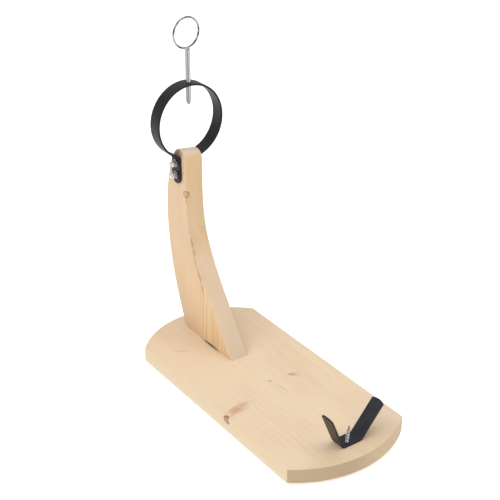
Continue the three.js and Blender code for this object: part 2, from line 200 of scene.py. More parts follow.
class Shader:
    """A Principled material, with short calls for the nodes that feed it.

    place is the point in mm, facing the way that the surface faces, and colour the paint so far.
    """

    def __init__(self, name, **inputs):
        self.material = bpy.data.materials.new(name)
        self.material.use_nodes = True
        self.tree = self.material.node_tree
        self.tree.nodes.clear()
        output = self.node("OutputMaterial")
        self.bsdf = self.node("BsdfPrincipled")
        self.feed(output.inputs["Surface"], self.bsdf.outputs["BSDF"])
        self.set(**inputs)
        coords = self.node("TexCoord")
        self.place = self.scaled(coords.outputs["Object"], 1 / MM, 1 / MM, 1 / MM)
        self.facing = coords.outputs["Normal"]
        self.colour = None

    def feed(self, socket, value):
        if isinstance(value, bpy.types.NodeSocket):
            self.tree.links.new(value, socket)
        else:
            socket.default_value = value

    def node(self, kind, inputs=(), **settings):
        made = self.tree.nodes.new("ShaderNode" + kind)
        for key, value in settings.items():
            setattr(made, key, value)
        for key, value in dict(inputs).items():
            self.feed(made.inputs[key], value)
        return made

    def set(self, **values):
        for key, value in values.items():
            self.feed(self.bsdf.inputs[key.replace("_", " ")], value)
        return self.material

    def math(self, operation, a, b=0.0):
        return self.node("Math", {0: a, 1: b}, operation=operation).outputs[0]

    def add(self, total, *others):
        for other in others:
            total = self.math("ADD", total, other)
        return total

    def times(self, product, *others):
        for other in others:
            product = self.math("MULTIPLY", product, other)
        return product

    def scaled(self, vector, x, y, z):
        return self.node("VectorMath", {0: vector, 1: (x, y, z)}, operation="MULTIPLY").outputs[0]

    def axes(self, vector):
        return self.node("SeparateXYZ", {"Vector": vector}).outputs

    def joined(self, x, y, z):
        return self.node("CombineXYZ", {"X": x, "Y": y, "Z": z}).outputs[0]

    def noise(self, vector, scale=1.0, detail=3.0, roughness=0.5):
        inputs = {"Vector": vector, "Scale": scale, "Detail": detail, "Roughness": roughness}
        return self.node("TexNoise", inputs).outputs["Fac"]

    def grain(self, vector, sizes, detail=3.0, roughness=0.5):
        """Noise whose marks are about so many mm long in x, y and z."""
        return self.noise(self.scaled(vector, *(1 / size for size in sizes)), 1.0, detail, roughness)

    def ramp(self, factor, *stops):
        made = self.node("ValToRGB", {"Fac": factor})
        points = made.color_ramp.elements
        while len(points) < len(stops):
            points.new(0.5)
        for point, (place, colour) in zip(points, stops):
            point.position = place
            point.color = colour if isinstance(colour, tuple) else (colour, colour, colour, 1)
        return made.outputs["Color"]

    def linear(self, value, low, high, to_low=0.0, to_high=1.0, **settings):
        inputs = {"Value": value, "From Min": low, "From Max": high, "To Min": to_low, "To Max": to_high}
        return self.node("MapRange", inputs, **settings).outputs[0]

    def smooth(self, *limits):
        return self.linear(*limits, interpolation_type="SMOOTHSTEP")

    def absolute(self, value):
        return self.math("ABSOLUTE", value)

    def radius(self, a, b, centre):
        """How far (a, b) is from centre."""
        da, db = self.add(a, -centre[0]), self.add(b, -centre[1])
        return self.math("SQRT", self.add(self.times(da, da), self.times(db, db)))

    def blob(self, a, b, centre, size, turn=0.0):
        """1 at the centre of an oval in the a-b plane, falling smoothly to 0."""
        da, db = self.add(a, -centre[0]), self.add(b, -centre[1])
        c, n = math.cos(turn), math.sin(turn)
        u = self.times(self.add(self.times(da, c), self.times(db, n)), 1 / size[0])
        v = self.times(self.add(self.times(db, c), self.times(da, -n)), 1 / size[1])
        square = self.add(self.times(u, u), self.times(v, v))
        return self.math("EXPONENT", self.times(square, -1.0))

    def rim(self, value, rise, fall):
        """A band round a blob, from the values that it rises over to those that it falls over."""
        band = self.math("SUBTRACT", self.smooth(value, *rise), self.smooth(value, *fall))
        return self.math("MAXIMUM", band, 0.0)

    def late_wood(self, radius, spacing, early, dark):
        """0 to 1 across each growth ring; early is a (share, darkness) stop, dark the darkest place."""
        phase = self.math("FRACT", self.times(radius, 1 / spacing))
        return self.ramp(phase, (0.0, 0.0), early, (dark, 1.0), (1.0, 0.0))

    def mix(self, factor, a, b):
        return self.node("Mix", {0: factor, 6: a, 7: b}, data_type="RGBA").outputs[2]

    def paint(self, factor, colour):
        self.colour = self.mix(factor, self.colour, colour)

    def finish(self, rough, height, depth, strength=0.5):
        """The material, with the paint so far, its roughness and a bump as deep as depth, in mm."""
        inputs = {"Height": height, "Distance": depth * MM, "Strength": strength}
        normal = self.node("Bump", inputs).outputs["Normal"]
        return self.set(Base_Color=self.colour, Roughness=rough, Normal=normal)


# ---------- wood ----------


def board_pine():
    s = Shader("board_pine", Specular_IOR_Level=0.25)
    tone, side_tone, end_tone = (partial(rgb, gain=gain) for gain in (BOARD_GAIN, SIDE_GAIN, END_GAIN))
    x, y, z = s.axes(s.place)
    nx, ny, nz = s.axes(s.facing)
    spike, small, smear = (s.blob(x, y, *oval) for oval in (SPIKE_KNOT, SMALL_KNOT, SMEAR))
    # growth rings round a heart that lies under the board, swelling at the knots
    rings = s.add(
        s.radius(y, z, BOARD_HEART),
        s.times(s.grain(s.place, (210, 70, 70), 2.0), 24.0), s.times(s.grain(s.place, (46, 9, 9)), 2.2),
        s.times(spike, 9.0), s.times(small, 4.0), s.times(smear, 6.0),
    )
    late = s.late_wood(rings, 4.7, (0.45, 0.12), 0.86)
    fibre = s.grain(s.place, (34, 0.55, 0.55), 3.0, 0.6)
    s.colour = s.ramp(
        s.grain(s.place, (130, 34, 34), 3.0, 0.6),
        (0.25, tone(238, 212, 173)), (0.5, tone(235, 211, 182)), (0.75, tone(231, 204, 171)),
    )
    patch = s.noise(s.scaled(s.place, 0.011, 0.02, 0.02), 1.0, 4.0, 0.65)
    s.paint(s.times(late, s.smooth(patch, 0.42, 0.7, 0.05, 0.22)), tone(212, 176, 132))
    s.paint(s.linear(fibre, 0.35, 0.75, 0.0, 0.14), tone(216, 184, 142))
    # the two long sides are painted paler than the top and whiter toward the bottom: partly the paler
    # sawn wood, partly painted light where the lamps fall on the sides
    side = s.smooth(s.absolute(ny), 0.3, 0.85)
    pale = s.mix(s.smooth(z, 5.0, 13.0), side_tone(234, 224, 206), side_tone(234, 212, 176))
    s.paint(s.times(side, 0.85), pale)
    s.paint(s.times(side, late, 0.16), tone(230, 198, 150))
    # end grain on the two curved ends is darker and shows the rings
    pores = s.noise(s.place, 0.9, 3.0, 0.7)
    end = s.mix(s.times(late, 0.22), end_tone(207, 184, 151), end_tone(186, 157, 119))
    end = s.mix(s.linear(pores, 0.4, 0.7, 0.0, 0.22), end, end_tone(184, 156, 118))
    end = s.mix(s.smooth(y, 35.0, -25.0, 0.0, 0.42), end, end_tone(150, 126, 94))
    s.paint(s.smooth(s.absolute(nx), 0.45, 0.8), end)
    # the front rim of the top is painted a little darker: painted shadow beside the cradle
    s.paint(s.times(s.smooth(x, 166.0, 184.0), s.smooth(nz, 0.5, 0.95), 0.3), tone(200, 172, 136))
    # the long knot at the near edge: its tail on the top face, its core on the edge
    top = s.times(s.smooth(z, BOARD_TOP - 7.0, BOARD_TOP - 1.0), s.smooth(nz, -0.2, 0.6))
    streaks = s.noise(s.scaled(s.place, 0.5, 0.09, 0.2), 1.0, 4.0, 0.7)
    tail = s.times(spike, top, s.linear(streaks, 0.32, 0.62, 0.25, 1.0))
    s.paint(s.smooth(tail, 0.05, 0.7, 0.0, 0.7), tone(198, 148, 114))
    core = s.times(s.blob(x, z, *SPIKE_KNOT_CORE), s.smooth(y, -79.0, -86.0))
    s.paint(s.smooth(core, 0.25, 0.6, 0.0, 0.75), side_tone(178, 134, 106))
    s.paint(s.times(s.rim(core, (0.2, 0.34), (0.4, 0.66)), 0.7), side_tone(126, 90, 66))
    # the smaller marks on the top face
    wear = s.linear(streaks, 0.3, 0.6, 0.55, 1.0)
    for oval, dark, colour in (
        (SMALL_KNOT, 0.6, tone(166, 134, 108)),
        (SPECKS, 0.24, tone(176, 150, 120)),
        (SMEAR, 0.5, tone(182, 156, 122)),
        (SMEAR_CORE, 0.5, tone(160, 134, 102)),
        (FAINT_KNOT, 0.3, tone(186, 154, 116)),
    ):
        mark = s.times(s.blob(x, y, *oval), wear, top)
        s.paint(s.smooth(mark, 0.15, 0.85, 0.0, dark), colour)
    # painted shade on the board in the gap under the column's lifted near edge
    slit_shade = s.times(s.blob(x, y, *SLIT_SHADE), top)
    s.paint(s.smooth(slit_shade, 0.02, 0.3, 0.0, 0.85), tone(96, 70, 44))
    height = s.add(s.times(late, 0.35), s.times(fibre, 0.5), s.times(pores, 0.3))
    return s.finish(s.linear(fibre, 0.3, 0.7, 0.5, 0.66), height, 0.06, 0.7)


def column_pine():
    s = Shader("column_pine", Specular_IOR_Level=0.25)
    tone = partial(rgb, gain=COLUMN_GAIN)
    x, y, z = s.axes(s.place)
    nx, ny, nz = s.axes(s.facing)
    near = s.smooth(ny, -0.3, -0.8)
    front = s.smooth(nx, 0.25, 0.75)
    # the grain leans forward a little with height
    lean = s.add(x, s.times(z, -0.03))
    leaned = s.joined(lean, y, z)
    rings = s.add(
        s.radius(lean, y, COLUMN_HEART),
        s.times(s.grain(leaned, (60, 40, 320), 2.0), 20.0), s.times(s.grain(leaned, (7, 7, 44)), 1.8),
        s.times(s.blob(x, z, *RING_SWELL), 7.0),
    )
    late = s.late_wood(rings, 3.9, (0.4, 0.1), 0.85)
    fibre = s.grain(leaned, (0.6, 0.6, 40), 3.0, 0.6)
    s.colour = s.ramp(
        s.grain(leaned, (20, 20, 120), 3.0, 0.6),
        (0.25, tone(233, 204, 174)), (0.5, tone(229, 201, 168)), (0.75, tone(222, 190, 150)),
    )
    # the near face is painted a little darker all over: painted shade on that face
    s.paint(s.times(near, 0.2), tone(190, 158, 126))
    # warmer heartwood low on the near face, with the rings standing out
    forward = s.smooth(s.add(x, s.times(z, 0.35)), -150.0, -100.0)
    low = s.times(s.smooth(z, 170.0, 40.0), forward, near)
    s.paint(s.times(low, 0.55), tone(255, 218, 166))
    # the front edge is yellower near the top and greyer toward the foot
    s.paint(s.times(s.smooth(z, 120.0, 240.0), front, 0.6), tone(224, 192, 140))
    s.paint(s.times(s.smooth(z, 140.0, 40.0), front, 0.6), tone(224, 202, 172))
    band = s.times(s.smooth(z, 140.0, 70.0), s.smooth(x, -98.0, -124.0), near)
    strength = s.add(s.linear(low, 0.0, 1.0, 0.16, 0.3), s.times(band, 0.36), s.times(front, -0.09))
    s.paint(s.times(late, strength), tone(208, 156, 108))
    s.paint(s.linear(fibre, 0.35, 0.75, 0.0, 0.2), tone(212, 176, 134))
    # a dark resin streak runs down from the knot beside the front edge
    streak_x = s.linear(s.ramp(s.linear(z, *STREAK_HEIGHTS), *STREAK_PATH), 0.0, 1.0, *STREAK_XS)
    wobble = s.times(s.add(s.noise(s.joined(0.0, 0.0, s.times(z, 1 / 16))), -0.5), 6.0)
    off = s.absolute(s.add(s.math("SUBTRACT", x, streak_x), wobble))
    length = s.smooth(s.absolute(s.add(z, -156.0)), 74.0, 52.0)
    breaks = s.smooth(s.noise(s.joined(0.0, 3.0, s.times(z, 1 / 11)), 1.0, 2.0), 0.38, 0.6, 0.25, 1.0)
    stained = s.times(length, s.smooth(ny, 0.0, -0.5), breaks)
    s.paint(s.times(s.smooth(off, 5.0, 0.6), stained, 0.5), tone(184, 150, 106))
    s.paint(s.times(s.smooth(off, 1.9, 0.3), stained, 0.42), tone(146, 110, 74))
    # a long loop of darker grain beside the streak
    loop = s.rim(s.blob(x, z, *ISLAND), (0.26, 0.38), (0.42, 0.56))
    s.paint(s.times(loop, near, 0.32), tone(190, 146, 104))
    # the cut foot's underside is painted dark: painted shade in the gap under the foot
    s.paint(s.smooth(nz, -0.5, -0.9), tone(74, 54, 38))
    # end grain over the rounded top
    s.paint(s.times(s.smooth(nz, 0.35, 0.9), 0.75), tone(232, 214, 192))
    # painted shade on the near face above the ring's tab, where the strap shades the wood
    strap_shade = s.times(s.blob(x, z, *STRAP_SHADE), near)
    s.paint(s.smooth(strap_shade, 0.0, 0.7, 0.0, 0.6), tone(112, 84, 64))
    # the knot, cut by the edge between the near face and the front
    knot = s.times(s.blob(x, z, *EDGE_KNOT_FACE), s.blob(y, z, *EDGE_KNOT_FRONT))
    s.paint(s.smooth(knot, 0.3, 0.5, 0.0, 0.75), tone(204, 160, 128))
    s.paint(s.times(s.rim(knot, (0.26, 0.38), (0.42, 0.6)), 0.7), tone(126, 90, 64))
    height = s.add(s.times(late, 0.4), s.times(fibre, 0.5))
    return s.finish(s.linear(fibre, 0.3, 0.7, 0.5, 0.66), height, 0.06, 0.7)


# ---------- metal, paint and rubber ----------


def black_paint(name, low, high, reflects_wood=False):
    """Satin black; for the cradle, a brown reflection of the wooden board is painted on the near arm's
    outer, downward face.
    """
    s = Shader(name, Specular_IOR_Level=0.2)
    peel = s.noise(s.place, 1.1, 3.0, 0.6)
    cloud = s.noise(s.place, 0.07, 3.0, 0.6)
    s.colour = s.ramp(cloud, (0.3, low), (0.7, high))
    dust = s.noise(s.place, 2.6, 2.0, 0.8)
    s.paint(s.smooth(dust, 0.68, 0.8, 0.0, 0.3), rgb(70, 72, 78))
    ny, nz = s.axes(s.facing)[1:3]
    if reflects_wood:
        # painted reflection of the wooden board, in brown patches, on the near arm's outer face
        patches = s.smooth(s.noise(s.place, 0.5, 4.0, 0.7), 0.3, 0.6, 0.5, 1.0)
        wood_reflection = s.times(s.smooth(ny, -0.4, -0.8), s.smooth(nz, 0.0, -0.25), patches)
        s.paint(s.times(wood_reflection, 0.75), rgb(68, 52, 38))
    else:
        # faces turned toward -y are painted near black: painted shade
        s.paint(s.smooth(ny, -0.3, -0.8, 0.0, 0.75), rgb(8, 8, 9))
    rough = s.linear(s.add(cloud, s.times(peel, 0.4)), 0.4, 1.0, 0.36, 0.52)
    return s.finish(rough, peel, 0.05)


def bright_metal(name, colours, roughness, drawn, mottle, spread, metallic=1.0):
    """Bare metal; drawn is how the fine marks stretch along x, y and z, mottle the share of clouds.

    colours and roughness are (low, high), and a smaller spread gives more contrast.
    """
    s = Shader(name, Metallic=metallic)
    marks = s.noise(s.scaled(s.place, *drawn), 1.0, 3.0, 0.65)
    cloud = s.noise(s.place, 0.22, 3.0, 0.6)
    shade = s.add(s.times(marks, 1.0 - mottle), s.times(cloud, mottle))
    s.colour = s.ramp(shade, (0.5 - spread, colours[0]), (0.5 + spread, colours[1]))
    return s.finish(s.linear(marks, 0.3, 0.7, *roughness), marks, 0.01)


def spike_steel():
    """Plated steel whose thread has a painted highlight on its crests and painted shade in the grooves
    between them.
    """
    s = Shader("spike_steel", Metallic=1.0)
    x, y, z = s.axes(s.place)
    dy, dz = s.add(y, -SPIKE_PLACE[1]), s.add(z, -BOARD_TOP)
    lean_sin, lean_cos = math.sin(SPIKE_LEAN), math.cos(SPIKE_LEAN)
    across = s.math("SUBTRACT", s.times(dy, lean_cos), s.times(dz, lean_sin))
    along = s.add(s.times(dy, lean_sin), s.times(dz, lean_cos))
    tip = BOARD_LOW.z + SPIKE_RECESS + SPIKE_LENGTH - BOARD_TOP
    crest = s.linear(along, tip - SPIKE_TIP, tip, SPIKE_RADIUS, 0.5)
    share = s.math("DIVIDE", s.radius(x, across, (SPIKE_PLACE[0], 0.0)), crest)
    scratches = s.noise(s.place, 1.4, 3.0, 0.6)
    s.colour = s.ramp(scratches, (0.3, rgb(196, 194, 192)), (0.7, rgb(250, 248, 246)))
    # painted shade in the thread's grooves
    s.paint(s.smooth(share, 0.86, 0.62), rgb(34, 31, 29))
    return s.finish(s.linear(share, 0.6, 0.95, 0.6, 0.16), scratches, 0.01)


def foot_rubber():
    s = Shader("foot_rubber", Specular_IOR_Level=0.35)
    grit = s.noise(s.place, 2.2, 3.0, 0.7)
    s.colour = s.ramp(grit, (0.3, rgb(30, 30, 31)), (0.7, rgb(46, 46, 47)))
    return s.finish(s.linear(grit, 0.3, 0.7, 0.7, 0.85), grit, 0.08, 0.6)


BOARD_PINE = board_pine()
COLUMN_PINE = column_pine()
RING_PAINT = black_paint("ring_paint", rgb(22, 22, 26), rgb(33, 33, 39))
CRADLE_PAINT = black_paint("cradle_paint", rgb(28, 28, 34), rgb(40, 40, 48), reflects_wood=True)
# light and dark bands along the rod: partly drawn die lines, partly painted reflection bands
ROD_STEEL = bright_metal(
    "rod_steel", (rgb(84, 81, 79), rgb(204, 200, 197)), (0.2, 0.34), (1.7, 1.7, 0.002), 0.0, 0.08)
# high-contrast mottling on the wire: painted highlights and painted shade
WIRE_STEEL = bright_metal(
    "wire_steel", (rgb(64, 63, 63), rgb(186, 184, 181)), (0.14, 0.28), (0.07, 0.07, 0.07), 0.2, 0.12)
# mottled plating, its contrast widened as painted highlights and painted shade
ZINC = bright_metal(
    "zinc_plate", (rgb(112, 108, 105), rgb(240, 236, 232)), (0.2, 0.4), (0.5, 0.5, 0.5), 0.4, 0.17, 0.7)
SPIKE_STEEL = spike_steel()
RUBBER = foot_rubber()

# ---------- mesh building ----------


def dress(mesh, material, sharp):
    """One material all over, and smooth faces but for edges of more than sharp degrees."""
    mesh.materials.clear()
    mesh.materials.append(material)
    for polygon in mesh.polygons:
        polygon.material_index = 0
        polygon.use_smooth = True
    mesh.set_sharp_from_angle(angle=math.radians(sharp))


def add_mesh(name, vertices, faces, material, sharp=32.0):
    mesh = bpy.data.meshes.new(name)
    mesh.from_pydata([Vector(v) * MM for v in vertices], [], faces)
    mesh.validate()
    dress(mesh, material, sharp)
    piece = bpy.data.objects.new(name, mesh)
    bpy.context.scene.collection.objects.link(piece)
    return piece


def combine(piece, others, operation="DIFFERENCE", sharp=32.0):
    """Cuts the others from the piece, joins them or keeps what they share, and removes them."""
    for other in others:
        step = piece.modifiers.new("solid", "BOOLEAN")
        step.operation = operation
        step.solver = "EXACT"
        step.object = other
    graph = bpy.context.evaluated_depsgraph_get()
    mesh = bpy.data.meshes.new_from_object(piece.evaluated_get(graph))
    piece.modifiers.clear()
    dress(mesh, piece.data.materials[0], sharp)
    spares = [piece.data] + [other.data for other in others]
    piece.data = mesh
    for other in others:
        bpy.data.objects.remove(other)
    for spare in spares:
        bpy.data.meshes.remove(spare)
    return piece


def settle(piece, body, slot, *nodes):
    if nodes:
        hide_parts(*nodes)
    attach(piece, body)


def numbered(rings):
    """Every point in one list, and each ring as point numbers; a ring that is one point is a pole."""
    vertices, loops = [], []
    for ring in rings:
        start = len(vertices)
        if len(set(ring)) == 1:
            vertices.append(ring[0])
            loops.append([start] * len(ring))
        else:
            vertices += ring
            loops.append(list(range(start, start + len(ring))))
    return vertices, loops


def bridge(loops, joined=False):
    """Quads between each loop of vertex numbers and the next, or triangles at a pole."""
    faces = []
    for one, two in zip(loops, loops[1:] + loops[:1] if joined else loops[1:]):
        for i in range(len(one)):
            j = (i + 1) % len(one)
            face = (one[i], one[j], two[j], two[i])
            kept = [v for k, v in enumerate(face) if v not in face[:k]]
            if len(kept) > 2:
                faces.append(tuple(kept))
    return faces


def loft(name, rings, material, ends="capped", sharp=32.0):
    """Skins rings of points one to the next; ends is "capped", "poles" or "joined"."""
    vertices, loops = numbered(rings)
    faces = bridge(loops, ends == "joined")
    if ends == "capped":
        faces += [tuple(reversed(loops[0])), tuple(loops[-1])]
    return add_mesh(name, vertices, faces, material, sharp)


def circle(radius, height, steps, x=0.0, y=0.0):
    """A level ring of points; radius is a number, or gives one for each angle."""
    ring = []
    for i in range(steps):
        a = 2 * math.pi * i / steps
        r = radius(a) if callable(radius) else radius
        ring.append((x + r * math.cos(a), y + r * math.sin(a), height))
    return ring


def lathe(name, profile, material, steps):
    """Turns [(radius, height)] round z; it starts and ends on the axis, or is joined to itself."""
    rings = [circle(radius, height, steps) for radius, height in profile]
    ends = "joined" if profile[0][0] > 0 else "poles"
    return loft(name, rings, material, ends)


def fillet(points, radii, steps=4):
    """Rounds the inner corners of an open profile; radii has one radius for each point."""
    out = [points[0]]
    for (a, b, c), radius in zip(zip(points, points[1:], points[2:]), radii[1:-1]):
        if radius <= 0:
            out.append(b)
            continue
        a, b, c = Vector(a), Vector(b), Vector(c)
        to_a, to_c = (a - b).normalized(), (c - b).normalized()
        half = to_a.angle(to_c) / 2
        back = min(radius / math.tan(half), (a - b).length * 0.49, (c - b).length * 0.49)
        start, end = b + to_a * back, b + to_c * back
        for i in range(steps + 1):
            t = i / steps
            point = start * (1 - t) ** 2 + b * 2 * t * (1 - t) + end * t ** 2
            out.append(tuple(point))
    out.append(points[-1])
    return out


def arc(centre, radius, start, end, steps):
    """Points from one angle to the other, both included."""
    angles = [start + (end - start) * i / steps for i in range(steps + 1)]
    return [(centre[0] + radius * math.cos(a), centre[1] + radius * math.sin(a)) for a in angles]


def bezier(a, b, c, d, count):
    """Points along a curve, without its end."""
    points = []
    for i in range(count):
        t = i / count
        u = 1 - t
        weights = (u ** 3, 3 * u * u * t, 3 * u * t * t, t ** 3)
        points.append(tuple(sum(w * q[k] for w, q in zip(weights, (a, b, c, d))) for k in (0, 1)))
    return points


def quarter_angles(count):
    """Angles from just above 0 to a quarter turn."""
    return [math.pi / 2 * (i + 1) / count for i in range(count)]


def eased_rows(radius, rest, low, high):
    """(inset, level) up a slab whose two edges are rounded; rest is a flat row's width beside them."""
    rows = [(radius + rest, low), (radius, low)]
    rows += [(radius * (1 - math.sin(a)), low + radius * (1 - math.cos(a))) for a in quarter_angles(5)]
    return rows + [(inset, low + high - level) for inset, level in reversed(rows)]


def outline_normals(points, closed):
    """Outward unit normals of an outline that runs clockwise seen with the first axis right."""
    count = len(points)
    normals = []
    for i in range(count):
        before = points[i - 1] if closed or i > 0 else points[i]
        after = points[(i + 1) % count] if closed or i < count - 1 else points[i]
        run = (Vector(after) - Vector(before)).normalized()
        normals.append(Vector((-run.y, run.x)))
    return normals


def move(piece, x=0.0, y=0.0, z=0.0):
    piece.data.transform(Matrix.Translation(Vector((x, y, z)) * MM))
    return piece


def turn(piece, angle, axis):
    piece.data.transform(Matrix.Rotation(angle, 4, axis))
    return piece


def lay_across(piece):
    """Turns a piece drawn up z so that it points along +y."""
    return turn(piece, -math.pi / 2, "X")


# ---------- screws ----------

THREAD_SIDES = 28
SCREW_ROWS = 12  # rings of points for each turn of thread
SCREW_RIDGE = 0.3  # half a ridge's width, as a share of the pitch
RECESS_WIDTH = 1.15  # of the cross recess, as a share of the head's radius


def thread_rings(x, y, span, rows_per_turn, pitch, radius_at, depth_at, width):
    """Rings up a helical thread; radius_at and depth_at give crest radius and depth by height."""
    start, end = span
    count = max(2, int((end - start) / pitch * rows_per_turn))
    rings = []
    for k in range(count + 1):
        height = start + (end - start) * k / count
        crest, depth = radius_at(height), depth_at(height)

        def profile(a):
            f = (height / pitch - a / (2 * math.pi)) % 1.0
            ridge = max(0.0, 1.0 - abs(f - 0.5) / width)
            return max(0.02, crest - depth * (1.0 - ridge))

        rings.append(circle(profile, height, THREAD_SIDES, x, y))
    return rings


def threaded(name, material, head, rings, x=0.0, y=0.0):
    """A head of (radius, height) rows from the axis outward, then the thread, closed at its end."""
    rows = [circle(radius, height, THREAD_SIDES, x, y) for radius, height in head]
    end = [(x, y, rings[-1][0][2] + 0.05)] * THREAD_SIDES
    return loft(name, [*rows, *rings, end], material, "poles", 50.0)


def cross_recess(x, y, z, size, depth):
    """Two crossed tapered bars that cut a screwdriver recess upward from z."""
    levels = ((z - 1.0, size * 0.5, size * 0.13), (z + depth, size * 0.21, size * 0.08))
    cutters = []
    for turned in (False, True):
        rings = []
        for level, long, wide in levels:
            u, v = (wide, long) if turned else (long, wide)
            rings.append([(x + a * u, y + b * v, level) for a, b in ((-1, -1), (1, -1), (1, 1), (-1, 1))])
        cutters.append(loft("recess_cutter", rings, ZINC))
    return cutters


def screw_mesh(name, place, low, high, head, radius, tip, pitch, start, cut=0.36, material=ZINC):
    """A countersunk wood screw from its head's face at low to its point at high."""
    x, y = place
    head_end = low + head - radius

    def radius_at(height):
        left = high - height
        return radius * min(1.0, left / tip) ** 0.8 if left > 0 else 0.02

    def depth_at(height):
        grown = min(1.0, (height - start) / pitch)
        return radius * cut * grown * min(1.0, (high - height) / tip + 0.15)

    rows = [(0, low), (head - 0.35, low), (head - 0.05, low + 0.2), (head - 0.1, low + 0.45),
            (radius + 0.02, head_end + 0.1), (radius, head_end + 0.6)]
    span = (start, high - 0.05)
    rings = thread_rings(x, y, span, SCREW_ROWS, pitch, radius_at, depth_at, SCREW_RIDGE)
    screw = threaded(name, material, rows, rings, x, y)
    return combine(screw, cross_recess(x, y, low, head * RECESS_WIDTH, head * 0.5), sharp=50.0)


def wood_screw(kind, place):
    node = f"{kind}_screw_{place}"
    low, high = box_mm(node)
    head = radius_mm(node)
    radius, tip, pitch = SCREWS[kind]
    start = low.z + head - radius + 2.0
    name = f"{kind}_fixing_{place}"
    screw = screw_mesh(name, centre_mm(node).xy, low.z, high.z, head, radius, tip, pitch, start)
    settle(screw, "stand", "zinc_steel", node)


def make_spike():
    low = BOARD_LOW.z + SPIKE_RECESS
    screw = screw_mesh("spike", (0, 0), low, low + SPIKE_LENGTH, SPIKE_HEAD, SPIKE_RADIUS,
                       SPIKE_TIP, SPIKE_PITCH, low + SPIKE_THREAD, SPIKE_CUT, SPIKE_STEEL)
    settle(lean_spike(screw), "stand", "zinc_steel", "spike_screw")


def lean_spike(piece):
    """Leans a piece drawn on the z axis about the board's top face, in the spike's place."""
    move(piece, 0, 0, -BOARD_TOP)
    turn(piece, -SPIKE_LEAN, "X")
    return move(piece, *SPIKE_PLACE, BOARD_TOP)


# ---------- board ----------


def board_outline():
    """Clockwise seen from above, starting at the front end's +y corner."""
    half = (BOARD_HIGH.y - BOARD_LOW.y) / 2
    inner = half - BOARD_CORNER
    points = []
    for tip, bulge, side in ((BOARD_HIGH.x, BOARD_FRONT_BULGE, 1), (BOARD_LOW.x, BOARD_BACK_BULGE, -1)):
        radius = (half ** 2 + bulge ** 2) / (2 * bulge)
        centre = tip - side * radius
        reach = math.sqrt((radius - BOARD_CORNER) ** 2 - inner ** 2)
        swing = math.atan2(inner, reach)
        ahead = 0.0 if side > 0 else math.pi
        corner_x = centre + side * reach
        # the front end runs from +y to -y, the back end from -y to +y
        points += arc((corner_x, side * inner), BOARD_CORNER, ahead + math.pi / 2, ahead + swing, 8)
        points += arc((centre, 0), radius, ahead + swing, ahead - swing, 72)[1:-1]
        points += arc((corner_x, -side * inner), BOARD_CORNER, ahead - swing, ahead - math.pi / 2, 8)
    return points


def make_board():
    outline = board_outline()
    normals = outline_normals(outline, True)
    rings = []
    for inset, height in reversed(eased_rows(BOARD_ROUND, 0.8, BOARD_LOW.z, BOARD_HIGH.z)):
        eased = [Vector(point) - normal * inset for point, normal in zip(outline, normals)]
        rings.append([(x, y, height) for x, y in eased])
    board = loft("board_pine", rings, BOARD_PINE)
    cutters = [spike_cutter()]
    for node in frame["nodes"]:
        kind, _, place = node.partition("_screw_")
        if place and kind in SCREWS:
            cutters.append(screw_cutter(node, kind))
    combine(board, cutters)
    settle(board, "stand", "board_wood", "base_board")


def screw_cutter(node, kind):
    low, high = box_mm(node)
    shank = SCREWS[kind][0] + FIT_GAP
    if kind == "foot":
        profile = [(0, low.z - 6), (shank, low.z - 6), (shank, high.z), (0, high.z)]
    else:
        profile = sunk_hole(low.z, radius_mm(node) + FIT_GAP, shank)
    return move(lathe("hole_cutter", profile, BOARD_PINE, 32), *centre_mm(node).xy)


def sunk_hole(low, head, shank):
    """The profile of a countersunk hole that opens downward."""
    return [(0, low - 6), (head, low - 6), (head, low), (shank, low + head - shank),
            (shank, BOARD_TOP + 5), (0, BOARD_TOP + 5)]


def spike_cutter():
    profile = sunk_hole(BOARD_LOW.z + SPIKE_RECESS, SPIKE_HEAD + FIT_GAP, SPIKE_RADIUS + FIT_GAP)
    return lean_spike(lathe("hole_cutter", profile, BOARD_PINE, 32))


# ---------- column ----------


def column_outline():
    """From the back foot up over the top and down to the front foot, in x and height."""
    centre = (COLUMN_FRONT_X - COLUMN_FRONT_ROUND, COLUMN_HEIGHT - COLUMN_FRONT_ROUND)
    top = (centre[0], COLUMN_HEIGHT)
    start = (COLUMN_FRONT_X, COLUMN_FRONT_START)
    points = bezier(COLUMN_BACK_FOOT, *COLUMN_BACK_PULL, COLUMN_BACK_TOP, 60)
    points += bezier(COLUMN_BACK_TOP, *COLUMN_TOP_PULL, top, 20)
    points += arc(centre, COLUMN_FRONT_ROUND, math.pi / 2, 0.0, 18)
    points.append((COLUMN_FRONT_X, COLUMN_FRONT_MIDDLE))
    points += bezier(start, *COLUMN_FRONT_PULL, COLUMN_FRONT_FOOT, 72)
    points.append(COLUMN_FRONT_FOOT)
    return points


def make_column():
    outline = column_outline()
    normals = outline_normals(outline, False)
    half = COLUMN_THICKNESS / 2
    rings = []
    for inset, y in eased_rows(COLUMN_ROUND, 0.6, -half, half):
        ring = []
        for point, normal in zip(outline, normals):
            # sanding by hand leaves the eased edge uneven
            depth = inset * (1.0 + 0.22 * noise.noise(Vector((*point, 0)) * 0.03))
            if point in (COLUMN_BACK_FOOT, COLUMN_FRONT_FOOT):
                x, height = point[0] - depth / normal.x, point[1]
            else:
                x, height = Vector(point) - normal * depth
            x = max(x, CAD_LOW.x / MM)
            share = max(0.0, (height - COLUMN_SLANT_START) / (COLUMN_HEIGHT - COLUMN_SLANT_START))
            slant = share * COLUMN_TOP_SLANT * y / COLUMN_THICKNESS
            ring.append((x, y, BOARD_TOP + COLUMN_LIFT + height - slant))
        rings.append(ring)
    column = loft("column_pine", rings, COLUMN_PINE)
    cutters = [bolt_cutter(node) for node in ("ring_bolt_lower", "ring_bolt_upper")]
    combine(column, [*cutters, foot_slit()])
    settle(column, "stand", "column_wood", "column")


def bolt_cutter(node):
    profile = [(0, -25), (BOLT_HOLE, -25), (BOLT_HOLE, 25), (0, 25)]
    cutter = lay_across(lathe("bolt_cutter", profile, COLUMN_PINE, 32))
    centre = centre_mm(node)
    return move(cutter, centre.x, 0, centre.z)


